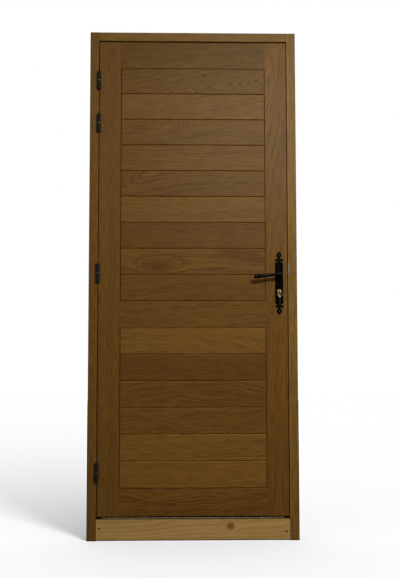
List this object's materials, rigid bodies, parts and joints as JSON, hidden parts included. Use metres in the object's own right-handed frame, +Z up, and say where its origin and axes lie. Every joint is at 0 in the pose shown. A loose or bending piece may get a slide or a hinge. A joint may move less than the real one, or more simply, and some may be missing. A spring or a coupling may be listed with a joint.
{
  "type": "slatted wooden door",
  "caption": "Slatted oak door leaf hung in a rebated oak frame on lift-off hinges, with a lever lock, keyed cylinder and a pine batten across the foot.",
  "frame": {"origin": "floor level at the feet of the jambs, under the middle of the leaf's width and thickness", "axes": "+X from the hinge side to the lock side, -Y towards the side that the leaf opens to, +Z up"},
  "size_m": [0.88, 0.152, 2.15],
  "materials": {
    "oak_frame": "oiled oak, satin",
    "oak_leaf": "oiled oak, satin",
    "oak_boards": "oiled oak, satin",
    "pine": "planed pine, bare",
    "black_iron": "black, satin",
    "hinge_brass": "turned",
    "cylinder_brass": "polished",
    "zinc_steel": "zinc plated",
    "screw_steel": "zinc plated",
    "key_nickel": "nickel plated",
    "seal_rubber": "matt",
    "brush_fibre": "matt bristle"
  },
  "bodies": {
    "frame": {"hinge_jamb": "oak_frame", "strike_jamb": "oak_frame", "frame_head": "oak_frame", "foot_batten": "pine", "batten_screws": "screw_steel", "frame_seal": "seal_rubber", "strike_plate": "zinc_steel", "strike_screws": "screw_steel", "hinge_pins": "zinc_steel", "hinge_rings": "hinge_brass", "hinge_frame_screws": "screw_steel", "hinge_1_frame_half": "black_iron", "hinge_2_frame_half": "black_iron", "hinge_3_frame_half": "black_iron", "hinge_4_frame_half": "black_iron"},
    "leaf": {"hinge_stile": "oak_leaf", "lock_stile": "oak_leaf", "bottom_rail": "oak_leaf", "mid_rail": "oak_leaf", "top_rail": "oak_leaf", "upper_board_1": "oak_boards", "upper_board_2": "oak_boards", "upper_board_3": "oak_boards", "upper_board_4": "oak_boards", "upper_board_5": "oak_boards", "upper_board_6": "oak_boards", "upper_board_7": "oak_boards", "upper_board_8": "oak_boards", "upper_board_9": "oak_boards", "lower_board_1": "oak_boards", "lower_board_2": "oak_boards", "lower_board_3": "oak_boards", "lower_board_4": "oak_boards", "lower_board_5": "oak_boards", "lower_board_6": "oak_boards", "hinge_1_leaf_half": "black_iron", "hinge_2_leaf_half": "black_iron", "hinge_3_leaf_half": "black_iron", "hinge_4_leaf_half": "black_iron", "hinge_leaf_screws": "screw_steel", "bottom_brush": "brush_fibre", "lock_case": "zinc_steel", "lock_forend": "zinc_steel", "lock_screws": "screw_steel", "cylinder_body": "cylinder_brass", "outside_plug": "cylinder_brass", "inside_plate": "black_iron", "outside_plate": "black_iron", "plate_screws": "screw_steel"},
    "handle": {"inside_lever": "black_iron", "outside_lever": "black_iron", "spindle": "zinc_steel", "lock_follower": "zinc_steel"},
    "latch": {"latch_bolt": "zinc_steel"},
    "deadbolt": {"deadbolt": "zinc_steel"},
    "plug": {"inside_plug": "cylinder_brass", "cylinder_cam": "zinc_steel"},
    "key": {"key": "key_nickel", "key_ring": "key_nickel", "spare_key": "key_nickel"}
  },
  "joints": [
    {"name": "leaf_swing", "type": "hinge", "parent": "frame", "child": "leaf", "pos_m": [-0.40075, -0.0315, 1.1], "axis": [0, 0, -1], "range_deg": [0, 170]},
    {"name": "lever_turn", "type": "hinge", "parent": "leaf", "child": "handle", "pos_m": [0.364, 0, 1.1025], "axis": [0, -1, 0], "range_deg": [0, 40], "stiffness_Nm_per_rad": 1.2, "springref_deg": -20.05},
    {"name": "latch_slide", "type": "slide", "parent": "leaf", "child": "latch", "axis": [-1, 0, 0], "range_m": [0, 0.011]},
    {"name": "key_turn", "type": "hinge", "parent": "leaf", "child": "plug", "pos_m": [0.364, 0, 1.0325], "axis": [0, 1, 0], "range_deg": [0, 360]},
    {"name": "deadbolt_slide", "type": "slide", "parent": "leaf", "child": "deadbolt", "axis": [1, 0, 0], "range_m": [0, 0.02]},
    {"name": "key_withdraw", "type": "slide", "parent": "plug", "child": "key", "axis": [0, -1, 0], "range_m": [0, 0.034]}
  ],
  "couplings": [
    {"joint": "latch_slide", "follows": "lever_turn", "m_per_rad": 0.015756},
    {"joint": "key_turn", "follows": "deadbolt_slide", "rad_per_m": 314.15}
  ]
}
